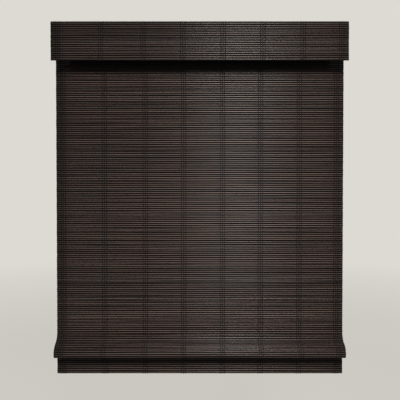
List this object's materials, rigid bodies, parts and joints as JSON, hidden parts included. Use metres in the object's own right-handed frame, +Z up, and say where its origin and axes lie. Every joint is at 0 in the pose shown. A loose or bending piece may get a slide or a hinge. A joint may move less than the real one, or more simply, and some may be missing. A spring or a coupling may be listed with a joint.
{
  "type": "bamboo roman shade",
  "caption": "Cordless roman shade of dark stained bamboo slats: a hanging mat with its last fold gathered, a valance over the headrail, and a spring-balanced lift.",
  "frame": {"origin": "middle of the four bracket screws, on the underside of the window head", "axes": "+X along the headrail, -Y towards the room, +Z up"},
  "size_m": [0.914, 0.0648, 1.1093],
  "materials": {
    "bamboo": "satin espresso stain on split bamboo",
    "thread": "dark twisted cotton",
    "tape": "hook and loop pile",
    "batten_wood": "stained softwood",
    "rail_metal": "satin anodised",
    "zinc_steel": "zinc plated",
    "white_plastic": "moulded, fine matt",
    "dark_plastic": "moulded, fine matt",
    "clear_ring": "moulded, smooth"
  },
  "bodies": {
    "headrail_frame": {"headrail": "rail_metal", "end_cap_left": "dark_plastic", "end_cap_right": "dark_plastic", "bracket_left": "zinc_steel", "bracket_right": "zinc_steel", "valance": "bamboo", "valance_threads": "thread", "valance_batten": "batten_wood", "valance_tape": "tape", "mat_tape": "tape", "shade_mat": "bamboo", "mat_threads": "thread", "spool_cradle_left": "white_plastic", "spool_cradle_center": "white_plastic", "spool_cradle_right": "white_plastic", "cord_grommets": "white_plastic", "motor_case": "white_plastic", "motor_cover": "white_plastic", "storage_pin": "zinc_steel", "motor_spring": "zinc_steel"},
    "shaft": {"lift_shaft": "zinc_steel", "spool_left": "white_plastic", "spool_center": "white_plastic", "spool_right": "white_plastic", "output_drum": "white_plastic"},
    "spring_drum": {"storage_drum": "white_plastic"},
    "bottom_rail": {"bottom_bar": "batten_wood", "bar_cap_left": "dark_plastic", "bar_cap_right": "dark_plastic", "fold_rings": "clear_ring"},
    "rings_1": {"ring_row_1": "clear_ring"},
    "rings_2": {"ring_row_2": "clear_ring"},
    "rings_3": {"ring_row_3": "clear_ring"},
    "rings_4": {"ring_row_4": "clear_ring"}
  },
  "joints": [
    {"name": "lift", "type": "slide", "parent": "headrail_frame", "child": "bottom_rail", "axis": [0, 0, 1], "range_m": [0, 0.82], "deforming": ["shade_mat", "mat_threads"]},
    {"name": "shaft_spin", "type": "hinge", "parent": "headrail_frame", "child": "shaft", "pos_m": [0, 0.0085, -0.0153], "axis": [1, 0, 0], "range_deg": [0, 6540]},
    {"name": "spring_drum_spin", "type": "hinge", "parent": "headrail_frame", "child": "spring_drum", "pos_m": [0.13, -0.0082, -0.0153], "axis": [1, 0, 0], "range_deg": [-5840, 0]},
    {"name": "ring_row_1_lift", "type": "slide", "parent": "headrail_frame", "child": "rings_1", "axis": [0, 0, 1], "range_m": [0, 0.6403]},
    {"name": "ring_row_2_lift", "type": "slide", "parent": "headrail_frame", "child": "rings_2", "axis": [0, 0, 1], "range_m": [0, 0.454]},
    {"name": "ring_row_3_lift", "type": "slide", "parent": "headrail_frame", "child": "rings_3", "axis": [0, 0, 1], "range_m": [0, 0.2676]},
    {"name": "ring_row_4_lift", "type": "slide", "parent": "headrail_frame", "child": "rings_4", "axis": [0, 0, 1], "range_m": [0, 0.0813]}
  ],
  "couplings": [
    {"joint": "shaft_spin", "follows": "lift", "rad_per_m": 138.89},
    {"joint": "spring_drum_spin", "follows": "lift", "rad_per_m": -123.87},
    {"joint": "ring_row_1_lift", "follows": "lift", "ratio": 0.7803},
    {"joint": "ring_row_2_lift", "follows": "lift", "ratio": 0.55303},
    {"joint": "ring_row_3_lift", "follows": "lift", "ratio": 0.32576},
    {"joint": "ring_row_4_lift", "follows": "lift", "ratio": 0.098485}
  ]
}
